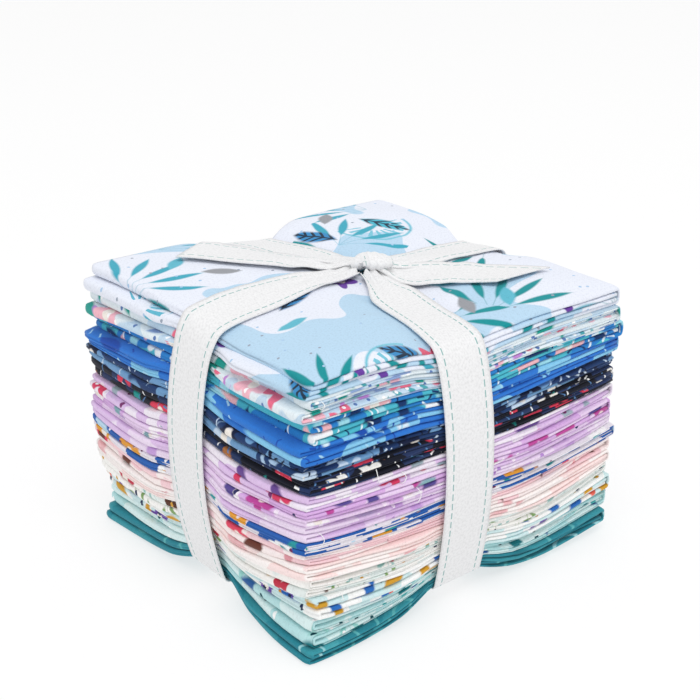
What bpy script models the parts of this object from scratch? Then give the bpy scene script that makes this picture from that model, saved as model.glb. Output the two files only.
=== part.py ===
"""Fat quarter bundle: sixteen folded cuts of quilting cotton, stacked and tied with one ribbon.

Each cut is folded to four passes. Its two ends are turned in to the middle of the fold and the
other half is brought over them, so that every cut shows two small rolls on its left side (-X),
one large roll on its right side (+X), and its four passes edge on at the front (-Y) and back.
The ribbon runs round the stack both ways, crosses underneath, and is knotted on top. It draws
a cross-shaped hollow into the top and the underside and leaves four puffed quarters between.

Metres, +Z up. The origin is under the middle of the stack, on the surface it rests on.
"""
import math
from collections import namedtuple

import bmesh
import bpy
from mathutils import Matrix, Vector

# ---------------------------------------------------------------- driving sizes

HALF_X = 0.0715           # half the folded length, along the fold, at the top and bottom cuts
HALF_Y = 0.0685           # half the folded width there
SIDE_BULGE = 0.0065       # how much further the middle of each side stands out at half height
CLOTH_HEIGHT = 0.106      # the stack's height at its puffed quarters
SHEET = 0.0010            # thickness of one pass
PASSES = 4

RIBBON_WIDTH = 0.022
RIBBON_THICK = 0.0010
RIBBON_GAP = 0.0004       # air between the ribbon and the cloth under it

UNDER_LIFT = 0.0100       # how far the ribbon lifts the underside
TOP_DIP = 0.0050          # how far it presses the top down
SIDE_PULL = 0.0015        # how far it draws the sides in, at the top and bottom edges
HELD = 0.8                # share of the rolls' stagger that the ribbon presses flat

HOLLOW_HALF = 0.0118      # half width of the hollow's flat floor, just past the ribbon's edge
PUFF_START = 0.028        # where the hollow has faded out, at half height
PUFF_SPREAD = 0.006       # how much nearer the ribbon that is at the top, and further at the bottom

# The four quarters: crown is how far the puff's top rises past CLOTH_HEIGHT, droop how far the
# top layer falls at the stack's corner, and curl how far the lowest layer rises there. The keys
# say whether the quarter is on the right (+X) and on the back (+Y) side.
Quarter = namedtuple("Quarter", "crown droop curl")
QUARTERS = {
    (False, False): Quarter(0.0, 0.0025, 0.0),
    (True, False): Quarter(0.0, 0.0025, 0.0020),
    (False, True): Quarter(0.0, -0.0015, 0.0),
    (True, True): Quarter(0.0025, 0.0, 0.0020),
}

TUCK = 0.0045             # how far the turned-in ends stop short of the large roll
SMALL_ROLL = 0.0012       # bulge of a small roll past the end of its passes
LARGE_ROLL = 0.0026
SMALL_ROLL_STEPS = 3
LARGE_ROLL_STEPS = 4

# The ribbon doesn't lie square. Its arms meet at the knot, a little right of the middle, and
# each leans away from its axis on the way to the edge: a lean of 0.1 is 1 mm in every 10.
KNOT_X = 0.0105
KNOT_Y = 0.0010
LEAN_LEFT = 0.075         # the arm to -X, drifting towards -Y
LEAN_RIGHT = 0.12         # the arm to +X, drifting towards +Y
LEAN_FRONT = 0.215        # the arm to -Y, drifting towards -X
LEAN_BACK = 0.045         # the arm to +Y, drifting towards +X

# One row a cut, from the top of the stack down. loft is the cut's share of the height, and
# upper, lower and large are how far its rolls stand out past the stack's mean outline.
Cut = namedtuple("Cut", "name colour loft upper lower large shift")
CUTS = [
    Cut("fat_quarter_01", "DCE7F2", 1.03, -0.0021, 0.0017, 0.0022, 0.0004),
    Cut("fat_quarter_02", "B4CBEA", 1.06, -0.0011, 0.0019, 0.0029, -0.0006),
    Cut("fat_quarter_03", "2E6FBE", 0.96, -0.0012, -0.0011, 0.0042, 0.0003),
    Cut("fat_quarter_04", "3F66C4", 1.05, 0.0033, 0.0021, 0.0040, -0.0002),
    Cut("fat_quarter_05", "3D5686", 0.97, 0.0027, 0.0026, 0.0024, 0.0006),
    Cut("fat_quarter_06", "23263A", 0.95, 0.0008, 0.0007, 0.0009, -0.0004),
    Cut("fat_quarter_07", "D9C3E4", 1.00, 0.0022, 0.0029, 0.0015, 0.0002),
    Cut("fat_quarter_08", "C795D2", 1.02, 0.0031, 0.0034, -0.0014, -0.0005),
    Cut("fat_quarter_09", "D3B4E4", 1.04, 0.0033, 0.0034, 0.0012, 0.0005),
    Cut("fat_quarter_10", "E9D3D2", 1.04, 0.0034, 0.0032, 0.0029, -0.0003),
    Cut("fat_quarter_11", "EFC3C8", 0.98, 0.0030, 0.0026, 0.0004, 0.0004),
    Cut("fat_quarter_12", "F3CDCB", 0.97, 0.0032, 0.0034, 0.0006, -0.0006),
    Cut("fat_quarter_13", "F3F1EA", 1.00, 0.0015, 0.0017, 0.0009, 0.0003),
    Cut("fat_quarter_14", "EFEFE9", 0.98, -0.0004, -0.0020, 0.0016, -0.0002),
    Cut("fat_quarter_15", "BFE1DB", 0.97, -0.0018, -0.0011, 0.0022, 0.0005),
    Cut("fat_quarter_16", "3A8F98", 0.98, 0.0010, 0.0019, 0.0000, -0.0004),
]
CLOTH_ROUGHNESS = 0.85

RIBBON_COLOUR = "F2F1EE"
RIBBON_ROUGHNESS = 0.6
EDGE_RADIUS = 0.0012      # bend of the ribbon over the stack's edges
EDGE_STEPS = 3
SIDE_LEVELS = (0.9, 0.75, 0.5, 0.25, 0.1)   # heights of the ribbon's corners down a side
GATHER_HALF = 0.0050      # half width to which the ribbon is gathered at the knot
GATHER_REACH = 0.045      # where it has its full width again

KNOT_SIZE = Vector((0.0155, 0.0125, 0.0078))
KNOT_LIFT = 0.0032        # the knot's middle above the ribbon that it is tied in
KNOT_WAIST = 0.22         # depth of the crease round the knot, as a share of its size
KNOT_SEGMENTS = 10
KNOT_RINGS = 6

# The two free tails. heading is the way a tail points, in degrees from +X, bend how far it
# turns along its length, slant how much further its left edge runs at the cut end.
Tail = namedtuple("Tail", "name heading bend length slant")
TAILS = [
    Tail("left", 127.0, 6.0, 0.073, -0.009),
    Tail("right", -46.0, -5.0, 0.060, 0.012),
]
TAIL_STEPS = 7
TAIL_ROOT_HALF = 0.0045   # half width inside the knot
TAIL_OPEN = 0.45          # share of the length over which the tail opens to full width
TAIL_GAP = 0.0008         # air between a tail and the puffed cloth under it
TAIL_WAVE = 0.0006

STATIONS_X = (-PUFF_START, -HOLLOW_HALF, HOLLOW_HALF, PUFF_START)
STATIONS_Y = (-HALF_Y, -PUFF_START, -HOLLOW_HALF, HOLLOW_HALF, PUFF_START, HALF_Y)
MERGE = 1e-6


# ---------------------------------------------------------------- the stack's shape

def belt(offset):
    """1 on the hollow's floor, 0 out on the puffed quarters, and smooth between."""
    t = (PUFF_START - abs(offset)) / (PUFF_START - HOLLOW_HALF)
    t = min(max(t, 0.0), 1.0)
    return t * t * (3.0 - 2.0 * t)


def rim(offset, half):
    """0 at the start of the puffed quarter and 1 at the stack's outline."""
    return min(max((abs(offset) - PUFF_START) / (half - PUFF_START), 0.0), 1.0)


def hollow(a, b):
    """1 in the cross-shaped hollow, 0 on the puffed quarters."""
    return 1.0 - (1.0 - belt(a)) * (1.0 - belt(b))


def corner(a, b):
    """1 at the stack's corners, falling to 0 on a line across each quarter."""
    return max(0.0, rim(a, HALF_X) + rim(b, HALF_Y) - 1.0)


def underside(a, b):
    return UNDER_LIFT * hollow(a, b) + QUARTERS[a > 0.0, b > 0.0].curl * corner(a, b)


def topside(a, b):
    quarter = QUARTERS[a > 0.0, b > 0.0]
    puff = 1.0 - hollow(a, b)
    risen = quarter.crown * puff * (1.0 - corner(a, b)) - quarter.droop * corner(a, b)
    return CLOTH_HEIGHT - TOP_DIP * (1.0 - puff) + risen


def spread(offset, half, level):
    """How far the line where a puff starts moves out at a level, 0 at the bottom and 1 at the
    top. It fades to nothing at the hollow's floor and at the stack's outline."""
    inner = (abs(offset) - HOLLOW_HALF) / (PUFF_START - HOLLOW_HALF)
    outer = (half - abs(offset)) / (half - PUFF_START)
    share = max(0.0, min(inner, outer))
    return math.copysign(share * PUFF_SPREAD * (1.0 - 2.0 * level), offset)


def standing_out(level, across, held):
    """How far a side stands out past HALF_X or HALF_Y at a level. across is 0 at the side's
    middle and 1 at its ends. held is 1 under the ribbon, which draws the top and bottom edges in,
    and 0 away from it."""
    edge = (2.0 * level - 1.0) ** 2
    return SIDE_BULGE * (1.0 - across ** 2) * (1.0 - edge) - SIDE_PULL * held * edge


def lean_x(b):
    return KNOT_X + b * (LEAN_FRONT if b < 0.0 else LEAN_BACK)


def lean_y(a):
    return KNOT_Y + a * (LEAN_LEFT if a < 0.0 else LEAN_RIGHT)


def leaned(a, b):
    """Plan position of the straight spot (a, b) once it follows the ribbon's lean."""
    return (a + lean_x(b) * (1.0 - rim(a, HALF_X)), b + lean_y(a) * (1.0 - rim(b, HALF_Y)))


def plan(a, b, level):
    """Plan position of the cloth's spot (a, b), with the sides' bulge and pull added too."""
    x, y = leaned(a, b)
    out_x = standing_out(level, b / HALF_Y, belt(b)) * rim(a, HALF_X)
    out_y = standing_out(level, a / HALF_X, belt(a)) * rim(b, HALF_Y)
    x += out_x * math.copysign(1.0, a) + spread(a, HALF_X, level)
    y += out_y * math.copysign(1.0, b) + spread(b, HALF_Y, level)
    return x, y


def in_cloth(a, b, level, side):
    """A point on a pass's mid surface (side 0) or on its upper or lower face (side 1, -1)."""
    low = underside(a, b) + SHEET / 2.0
    high = topside(a, b) - SHEET / 2.0
    x, y = plan(a, b, level)
    return Vector((x, y, low + level * (high - low) + side * SHEET / 2.0))


# ---------------------------------------------------------------- folding one cut

Row = namedtuple("Row", "a stagger level side")


def run(start, stop, level, side):
    """Rows of one pass, from one end (a, stagger) to the other."""
    onward = 1 if stop[0] > start[0] else -1
    between = [(a, 0.0) for a in sorted(STATIONS_X, key=lambda a: a * onward)]
    return [Row(a, stagger, level, side) for a, stagger in [start, *between, stop]]


def turn(end, bulge, from_level, to_level, side, steps):
    """Rows of the half circle that joins two passes."""
    rows = []
    for step in range(1, steps):
        angle = math.pi * step / steps
        share = (1.0 - math.cos(angle)) / 2.0
        level = from_level + (to_level - from_level) * share
        rows.append(Row(end[0] + bulge * math.sin(angle), end[1], level, side * math.cos(angle)))
    return rows


def fold(cut, levels):
    """Rows across the whole folded cut, from one turned-in end to the other."""
    top, second, third, bottom = levels
    upper = (SMALL_ROLL - HALF_X, -cut.upper)
    lower = (SMALL_ROLL - HALF_X, -cut.lower)
    large = (HALF_X - LARGE_ROLL, cut.large)
    tucked = (HALF_X - LARGE_ROLL - TUCK, cut.large)
    rows = run(tucked, upper, second, -1)
    rows += turn(upper, -SMALL_ROLL, second, top, -1, SMALL_ROLL_STEPS)
    rows += run(upper, large, top, 1)
    rows += turn(large, LARGE_ROLL, top, bottom, 1, LARGE_ROLL_STEPS)
    rows += run(large, lower, bottom, -1)
    rows += turn(lower, -SMALL_ROLL, bottom, third, -1, SMALL_ROLL_STEPS)
    rows += run(lower, tucked, third, 1)
    return rows


def grid(rows, columns, where, bend=None):
    """A grid of rows x columns points, each moved to where(row, column). bend(row, column) says
    how much the cloth bends there. Each quad is split along the diagonal that bends least, so
    that all passes have their creases in the same places and stay parallel."""
    mesh = bmesh.new()
    bmesh.ops.create_grid(mesh, x_segments=rows - 1, y_segments=columns - 1, size=0.5)
    cells = {}
    for vertex in mesh.verts:
        row = round((vertex.co.x + 0.5) * (rows - 1))
        column = round((vertex.co.y + 0.5) * (columns - 1))
        cells[vertex] = (row, column)
    if bend:
        for face in list(mesh.faces):
            one, two, three, four = face.verts
            bends = [bend(*cells[vertex]) for vertex in face.verts]
            if bends[0] + bends[2] <= bends[1] + bends[3]:
                bmesh.utils.face_split(face, one, three)
            else:
                bmesh.utils.face_split(face, two, four)
    for vertex, cell in cells.items():
        vertex.co = where(*cell)
    return mesh


def folded_cut(cut, levels):
    rows = fold(cut, levels)

    def flat_spot(row, column):
        b = STATIONS_Y[column]
        return rows[row].a + rows[row].stagger * (1.0 - HELD * belt(b)), b

    def bend(row, column):
        a, b = flat_spot(row, column)
        return hollow(a, b) + corner(a, b)

    def where(row, column):
        a, b = flat_spot(row, column)
        place = in_cloth(a, b, rows[row].level, rows[row].side)
        place.y += cut.shift * rim(b, HALF_Y) * (1.0 - HELD * belt(a))
        return place

    return grid(len(rows), len(STATIONS_Y), where, bend)


# ---------------------------------------------------------------- the ribbon

ArmRow = namedtuple("ArmRow", "reach half height")
OVER = CLOTH_HEIGHT - TOP_DIP + RIBBON_GAP    # the ribbon's inner face on top
UNDER = UNDER_LIFT - RIBBON_GAP               # and underneath


def arm_rows(half):
    """One arm of the ribbon, from the knot out over the edge, down the side and in again
    underneath."""
    width = RIBBON_WIDTH / 2.0
    proud = (1.0 - HELD) * max(max(cut.upper, cut.lower, cut.large) for cut in CUTS)
    outside = half + proud + RIBBON_GAP
    edge = outside + standing_out(1.0, 0.0, 1.0)
    bend = [math.pi / 2.0 * step / EDGE_STEPS for step in range(EDGE_STEPS + 1)]
    rows = [ArmRow(GATHER_HALF, GATHER_HALF, OVER), ArmRow(GATHER_REACH, width, OVER)]
    for angle in bend:
        reach = edge - EDGE_RADIUS * (1.0 - math.sin(angle))
        rows.append(ArmRow(reach, width, OVER - EDGE_RADIUS * (1.0 - math.cos(angle))))
    for level in SIDE_LEVELS:
        reach = outside + standing_out(level, 0.0, 1.0)
        rows.append(ArmRow(reach, width, UNDER + level * (OVER - UNDER)))
    for angle in bend:
        reach = edge - EDGE_RADIUS * (1.0 - math.cos(angle))
        rows.append(ArmRow(reach, width, UNDER + EDGE_RADIUS * (1.0 - math.sin(angle))))
    rows.append(ArmRow(width, width, UNDER))
    return rows


def ribbon_bands():
    """The four arms and the two crossings, welded to one sheet."""
    mesh = bmesh.new()
    for along_x, half in ((True, HALF_X), (False, HALF_Y)):
        rows = arm_rows(half)
        for way in (1, -1):
            def where(row, column):
                reach = way * rows[row].reach
                across = rows[row].half * (2 * column - 1)
                spot = leaned(reach, across) if along_x else leaned(across, reach)
                return Vector((*spot, rows[row].height))
            join(mesh, grid(len(rows), 2, where))
    for half, height in ((GATHER_HALF, OVER), (RIBBON_WIDTH / 2.0, UNDER)):
        def where(row, column):
            return Vector((*leaned(half * (2 * row - 1), half * (2 * column - 1)), height))
        join(mesh, grid(2, 2, where))
    bmesh.ops.remove_doubles(mesh, verts=mesh.verts, dist=MERGE)
    bmesh.ops.recalc_face_normals(mesh, faces=mesh.faces)
    return mesh


def join(mesh, other):
    """Add another mesh's geometry to this one."""
    data = bpy.data.meshes.new("joined")
    other.to_mesh(data)
    other.free()
    mesh.from_mesh(data)
    bpy.data.meshes.remove(data)


def knot_middle():
    x, y = plan(0.0, 0.0, 1.0)
    return Vector((x, y, CLOTH_HEIGHT - TOP_DIP + RIBBON_GAP + RIBBON_THICK + KNOT_LIFT))


def knot():
    """A small tight knot: a ball drawn in by a crease where one tail wraps the other."""
    mesh = bmesh.new()
    bmesh.ops.create_uvsphere(mesh, u_segments=KNOT_SEGMENTS, v_segments=KNOT_RINGS, radius=0.5)
    for vertex in mesh.verts:
        squeeze = 1.0 - KNOT_WAIST * math.exp(-(vertex.co.x / 0.16) ** 2)
        vertex.co.y *= squeeze
        vertex.co.z *= squeeze
        vertex.co = Vector(a * b for a, b in zip(vertex.co, KNOT_SIZE))
    heading = Matrix.Rotation(math.radians(TAILS[0].heading), 4, "Z")
    bmesh.ops.transform(mesh, matrix=Matrix.Translation(knot_middle()) @ heading, verts=mesh.verts)
    return mesh


def tail(spec):
    """A free tail: out of the knot, opening to its full width, and lying over the quarter."""
    lying = CLOTH_HEIGHT + TAIL_GAP
    start = knot_middle()
    steps = TAIL_STEPS
    turned = math.radians(spec.bend)
    middles = [Vector((start.x, start.y, start.z))]
    heading = math.radians(spec.heading)
    headings = [heading]
    for step in range(1, steps + 1):
        heading = math.radians(spec.heading) + turned * step / steps
        along = Vector((math.cos(heading), math.sin(heading), 0.0)) * spec.length / steps
        middles.append(middles[-1] + along)
        headings.append(heading)

    def where(row, column):
        share = row / steps
        open_up = min(share / TAIL_OPEN, 1.0)
        half = TAIL_ROOT_HALF + (RIBBON_WIDTH / 2.0 - TAIL_ROOT_HALF) * open_up
        left = Vector((-math.sin(headings[row]), math.cos(headings[row]), 0.0))
        ahead = Vector((math.cos(headings[row]), math.sin(headings[row]), 0.0))
        place = middles[row] + left * half * (column - 1)
        place += ahead * spec.slant * (column - 1) / 2.0 * share ** 3
        settled = min(share * 2.5, 1.0)
        place.z = start.z + (lying - start.z) * settled
        place.z += TAIL_WAVE * math.sin(math.pi * 3.0 * share) ** 2
        return place

    mesh = grid(steps + 1, 3, where)
    bmesh.ops.recalc_face_normals(mesh, faces=mesh.faces)
    return mesh


# ---------------------------------------------------------------- objects and materials

def clear_scene():
    for item in list(bpy.data.objects):
        bpy.data.objects.remove(item, do_unlink=True)


def collection(name):
    made = bpy.data.collections.new(name)
    bpy.context.scene.collection.children.link(made)
    return made


def linear(hex_colour):
    """A hex sRGB colour as the linear values that a shader takes."""
    values = [int(hex_colour[i:i + 2], 16) / 255.0 for i in (0, 2, 4)]
    return [v / 12.92 if v <= 0.04045 else ((v + 0.055) / 1.055) ** 2.4 for v in values]


def material(name, hex_colour, roughness):
    made = bpy.data.materials.new(name)
    made.use_nodes = True
    shader = made.node_tree.nodes["Principled BSDF"]
    shader.inputs["Base Color"].default_value = (*linear(hex_colour), 1.0)
    shader.inputs["Roughness"].default_value = roughness
    shader.inputs["Metallic"].default_value = 0.0
    return made


def add_object(name, mesh, where):
    data = bpy.data.meshes.new(name)
    mesh.to_mesh(data)
    mesh.free()
    made = bpy.data.objects.new(name, data)
    where.objects.link(made)
    return made


def thicken(item, thickness, offset):
    shell = item.modifiers.new("thickness", "SOLIDIFY")
    shell.thickness = thickness
    shell.offset = offset
    shell.use_even_offset = True


def build_cuts(parts):
    """The stack, from the top down. Levels run from 1, the top pass, to 0, the lowest."""
    spans = sum(cut.loft for cut in CUTS) * PASSES
    ends = (CUTS[0].loft + CUTS[-1].loft) / 2.0
    level = 1.0 + CUTS[0].loft / 2.0 / (spans - ends)
    for cut in CUTS:
        pitch = cut.loft / (spans - ends)
        levels = [level - pitch * (number + 0.5) for number in range(PASSES)]
        level -= pitch * PASSES
        made = add_object(cut.name, folded_cut(cut, levels), parts)
        made.data.materials.append(material(cut.name, cut.colour, CLOTH_ROUGHNESS))
        thicken(made, SHEET, -1.0)


def build_ribbon(parts, cutters):
    """The tie is one length of ribbon, so its bands, knot and tails are joined to one solid."""
    tie = add_object("ribbon_tie", ribbon_bands(), parts)
    tie.data.materials.append(material("ribbon_tie", RIBBON_COLOUR, RIBBON_ROUGHNESS))
    thicken(tie, RIBBON_THICK, 1.0)
    pieces = [add_object("knot", knot(), cutters)]
    for spec in TAILS:
        made = add_object(f"tail_{spec.name}", tail(spec), cutters)
        thicken(made, RIBBON_THICK, 0.0)
        pieces.append(made)
    for piece in pieces:
        piece.hide_render = True
        piece.display_type = "WIRE"
        union = tie.modifiers.new(piece.name, "BOOLEAN")
        union.operation = "UNION"
        union.solver = "EXACT"
        union.object = piece


def main():
    clear_scene()
    parts = collection("fat_quarter_bundle")
    cutters = collection("ribbon_pieces")
    build_cuts(parts)
    build_ribbon(parts, cutters)


main()
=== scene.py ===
# %% [markdown]
# # A bundle of fat quarters
#
# Sixteen cuts of quilting cotton, folded, stacked by colour and tied with one printed ribbon.
# Each lesson step below makes one thing: first the shape of the whole stack, then one folded
# cut, then the prints, and last the ribbon with its knot. Everything is in metres, with +Z up.

# %% The fixed frame
import math
import random
from collections import namedtuple

import bpy
import numpy as np
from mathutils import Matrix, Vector


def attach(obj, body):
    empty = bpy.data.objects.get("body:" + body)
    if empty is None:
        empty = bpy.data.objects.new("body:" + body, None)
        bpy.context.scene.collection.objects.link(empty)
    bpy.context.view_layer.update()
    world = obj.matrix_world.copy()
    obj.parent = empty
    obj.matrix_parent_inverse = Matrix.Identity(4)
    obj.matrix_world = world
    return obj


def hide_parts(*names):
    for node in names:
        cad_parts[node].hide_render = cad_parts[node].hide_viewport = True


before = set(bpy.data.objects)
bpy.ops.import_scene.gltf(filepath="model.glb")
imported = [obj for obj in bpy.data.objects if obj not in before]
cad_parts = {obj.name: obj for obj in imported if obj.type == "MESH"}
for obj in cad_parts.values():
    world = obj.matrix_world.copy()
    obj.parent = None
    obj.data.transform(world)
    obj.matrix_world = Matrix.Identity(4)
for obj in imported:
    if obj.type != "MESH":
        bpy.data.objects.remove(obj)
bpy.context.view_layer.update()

# %% [markdown]
# ## Camera, floor and light
#
# A product picture of this kind is taken from a little above, with a longish lens, in a white
# room. The lens axis is right of the picture's middle, so the camera has a small shift. White
# walls light the cloth from all sides, and one large soft lamp gives the folds their form. The
# plain view transform keeps whites white, which a film-like one would turn grey.

# %% Camera, floor and light
CAMERA_PLACE = (-0.29693, -0.38160, 0.27045)
CAMERA_AZIMUTH = -40.27
CAMERA_ELEVATION = 22.31
LENS = 70.25
SHIFT = (-0.0769, 0.0080)
LOOKED_AT = (0.0, 0.0, 0.05)
WHITE = (1.0, 1.0, 1.0, 1.0)
FLOOR_GREY = (0.30, 0.30, 0.30, 1.0)


def new_object(name, data):
    made = bpy.data.objects.new(name, data)
    bpy.context.scene.collection.objects.link(made)
    return made


def new_material(name):
    """A material and its shader."""
    made = bpy.data.materials.new(name)
    made.use_nodes = True
    return made, made.node_tree.nodes["Principled BSDF"]


def fill(node, values):
    """Set a node's sockets to constants."""
    for name, value in values.items():
        node.inputs[name].default_value = value


def add_camera():
    data = bpy.data.cameras.new("camera")
    data.lens = LENS
    data.sensor_width = 36.0
    data.shift_x, data.shift_y = SHIFT
    data.clip_start = 0.01
    made = new_object("camera", data)
    made.location = CAMERA_PLACE
    made.rotation_euler = (math.radians(90.0 - CAMERA_ELEVATION), 0.0, math.radians(CAMERA_AZIMUTH))
    bpy.context.scene.camera = made


def add_lamp(name, place, size, power):
    """A square soft lamp that faces the middle of the stack."""
    data = bpy.data.lights.new(name, "AREA")
    data.size = size
    data.energy = power
    made = new_object(name, data)
    made.location = place
    made.rotation_euler = (Vector(LOOKED_AT) - Vector(place)).to_track_quat("-Z", "Y").to_euler()


def add_room(brightness):
    world = bpy.data.worlds.new("white room")
    world.use_nodes = True
    fill(world.node_tree.nodes["Background"], {"Color": WHITE, "Strength": brightness})
    bpy.context.scene.world = world


def add_floor(half):
    data = bpy.data.meshes.new("floor")
    corners = [(-half, -half, 0.0), (half, -half, 0.0), (half, half, 0.0), (-half, half, 0.0)]
    data.from_pydata(corners, [], [(0, 1, 2, 3)])
    paper, shader = new_material("floor paper")
    fill(shader, {"Base Color": FLOOR_GREY, "Roughness": 0.9})
    fill(shader, {"Emission Color": WHITE, "Emission Strength": 0.68})
    data.materials.append(paper)
    new_object("floor", data)


add_camera()
add_room(0.76)
add_lamp("key", (-0.25, -0.56, 1.70), 1.2, 11.8)
add_floor(8.0)
bpy.context.scene.view_settings.view_transform = "Standard"
print("camera", CAMERA_PLACE, "lens", LENS)

# %% [markdown]
# ## The shape of the stack
#
# The ribbon draws a cross-shaped hollow into the top and the underside, and the four quarters
# between its arms puff up. The sides belly out between the tied edges. All of this is one
# mapping from a flat spot (a, b) and a level, 0 at the bottom and 1 at the top, to a point in
# space. Every cut is folded flat and square, and this mapping then bends it, so that the cuts
# lie on each other however many there are. The functions work on whole arrays of points.

# %% Sizes of the stack
HALF_X = 0.0715           # half the folded length, along the fold
HALF_Y = 0.0685           # half the folded width
SIDE_BULGE = 0.0065       # how far the middle of a side stands out at half height
CLOTH_HEIGHT = 0.106      # height at the puffed quarters
PASSES = 4                # each cut is folded to four passes
RIBBON_WIDTH = 0.022
UNDER_LIFT = 0.0078       # how far the ribbon lifts the underside
KNOT_DIP = 0.0042         # how far it presses the top down at the knot
SIDE_PULL = 0.0015        # how far it draws the sides in at the top and bottom edges
EDGE_PULL = 0.0026        # how much further it rounds the top edge off
EDGE_FADE = 0.0045        # over this height
PUCKER = 0.00040          # depth of the cloth's puckers along the ribbon
HELD = 0.8                # share of the rolls' stagger that the ribbon presses flat
HOLLOW_HALF = 0.0110      # half width of the hollow's flat floor
PUFF_START = 0.028        # where the sides' stagger starts
TOP_FADE = 0.0125         # how fast the hollow fades out on top, and underneath
UNDER_FADE = 0.0150
TROUGH_POWER = 1.05       # above 1 the slope beside the ribbon starts softly
KNOT_REACH = 0.014        # how far out the knot's own dip goes over into the arms'
EDGE_POWER = 9            # how close to the outline the top edges fall
PUCKERED = 0.019          # middle of the puckered slope beside the ribbon, and its half width
PUCKER_SPREAD = 0.0055
KNOT_X, KNOT_Y = 0.0092, 0.0034
LEAN_LEFT, LEAN_RIGHT, LEAN_FRONT, LEAN_BACK = 0.131, -0.042, 0.226, -0.175
CORNER_ROUND = 0.004      # radius of the folded corners, seen from above
BLEND = 0.018             # the quarters' heights run into each other over this half width
LEFT_OUT, RIGHT_OUT = 0.0018, 0.0026   # how far the left and the right corner stick out

# Each quarter, by (right side, back side). crown is how far its middle rises past CLOTH_HEIGHT,
# fall how far its outer edges sink, droop how far its corner sinks on top of that, and curl how
# far its lowest layer rises at the corner. along_x and along_y stretch the slopes down to the
# two arms of the ribbon that border it.
Quarter = namedtuple("Quarter", "crown fall droop curl along_x along_y")
QUARTERS = {
    (0, 0): Quarter(0.0003, 0.0030, 0.0008, 0.0, 1.8, 0.75),
    (1, 0): Quarter(-0.0006, 0.0022, 0.0016, 0.0035, 1.5, 1.35),
    (0, 1): Quarter(0.0024, 0.0008, -0.0004, 0.0, 2.1, 0.8),
    (1, 1): Quarter(0.0028, 0.0014, 0.0005, 0.0020, 1.95, 0.55),
}

# Depth of the hollow where each arm goes over the edge
ARM_DIPS = {"left": 0.0020, "right": 0.0018, "front": 0.0052, "back": 0.0046}
RIGHT_TILT = 0.0052       # how much deeper the right arm presses on its side at the back
BACK_TILT = 0.0023        # and the back arm on its side at the right
TILT_WIDTH = 0.026


def ease(share):
    share = np.clip(share, 0.0, 1.0)
    return share * share * (3.0 - 2.0 * share)


def belt(offset):
    """1 on the hollow's floor and 0 out on the puffed quarters."""
    return ease((PUFF_START - np.abs(offset)) / (PUFF_START - HOLLOW_HALF))


def rim(offset, half):
    """0 at the start of the puffed quarter and 1 at the stack's outline."""
    return np.clip((np.abs(offset) - PUFF_START) / (half - PUFF_START), 0.0, 1.0)


def trough(offset, fade):
    """1 under the ribbon, fading out over the puffed quarter beside it."""
    return np.exp(-(np.maximum(np.abs(offset) - HOLLOW_HALF, 0.0) / fade) ** TROUGH_POWER)


def corner(a, b):
    return ease(rim(a, HALF_X) + rim(b, HALF_Y) - 1.0)


def by_quarter(a, b, field):
    """One of the quarters' values at each spot, blended across the ribbon's arms."""
    right = ease(0.5 + a / (2.0 * BLEND))
    back = ease(0.5 + b / (2.0 * BLEND))
    total = 0.0
    for (x_side, y_side), quarter in QUARTERS.items():
        share = (right if x_side else 1.0 - right) * (back if y_side else 1.0 - back)
        total = total + share * getattr(quarter, field)
    return total


def underside(a, b):
    lifted = 1.0 - (1.0 - trough(a, UNDER_FADE)) * (1.0 - trough(b, UNDER_FADE))
    return UNDER_LIFT * lifted + by_quarter(a, b, "curl") * corner(a, b)


def dip(a, b):
    """Depth of the cross-shaped hollow on top."""
    right = ARM_DIPS["right"] + RIGHT_TILT * ease(0.5 + b / TILT_WIDTH)
    back = ARM_DIPS["back"] + BACK_TILT * ease(0.5 + a / TILT_WIDTH)
    along_x = np.where(a < 0.0, ARM_DIPS["left"], right)
    along_y = np.where(b < 0.0, ARM_DIPS["front"], back)
    in_x = along_x + (KNOT_DIP - along_x) * np.exp(-(a / KNOT_REACH) ** 2)
    in_y = along_y + (KNOT_DIP - along_y) * np.exp(-(b / KNOT_REACH) ** 2)
    one = in_x * trough(b, TOP_FADE * by_quarter(a, b, "along_x"))
    two = in_y * trough(a, TOP_FADE * by_quarter(a, b, "along_y"))
    return one + two - one * two / np.maximum(np.maximum(in_x, in_y), KNOT_DIP)


def outline(a, b):
    """0 over most of the top and 1 along its outer edges."""
    return 1.0 - (1.0 - (np.abs(a) / HALF_X) ** EDGE_POWER) * (1.0 - (np.abs(b) / HALF_Y) ** EDGE_POWER)


def beside(offset):
    """1 on the slope beside the ribbon, and 0 under it and out on the quarter."""
    return np.exp(-((np.abs(offset) - PUCKERED) / PUCKER_SPREAD) ** 2)


def puckers(a, b):
    """Short soft wrinkles that run out from the ribbon's edges, and a slow unevenness."""
    along_x = beside(b) * np.sin(a * 610.0 + 1.5 * np.sin(a * 95.0)) * np.sin(a * 70.0 + 2.0)
    along_y = beside(a) * np.sin(b * 560.0 + 1.5 * np.sin(b * 105.0)) * np.sin(b * 62.0 + 0.7)
    slow = np.sin(a * 150.0 + b * 60.0) * np.sin(b * 130.0 - a * 40.0 + 1.0)
    return PUCKER * (along_x + along_y + slow) * (1.0 - outline(a, b))


def topside(a, b):
    fallen = by_quarter(a, b, "fall") * outline(a, b) + by_quarter(a, b, "droop") * corner(a, b)
    return CLOTH_HEIGHT + by_quarter(a, b, "crown") - fallen - dip(a, b) + puckers(a, b)


def standing_out(level, across, held):
    edge = (2.0 * level - 1.0) ** 2
    pulled = SIDE_PULL * edge + EDGE_PULL * np.exp((level - 1.0) * CLOTH_HEIGHT / EDGE_FADE)
    return SIDE_BULGE * (1.0 - across ** 2) * (1.0 - edge) - pulled * held


def lean_x(b):
    return KNOT_X + b * np.where(b < 0.0, LEAN_FRONT, LEAN_BACK)


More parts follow.
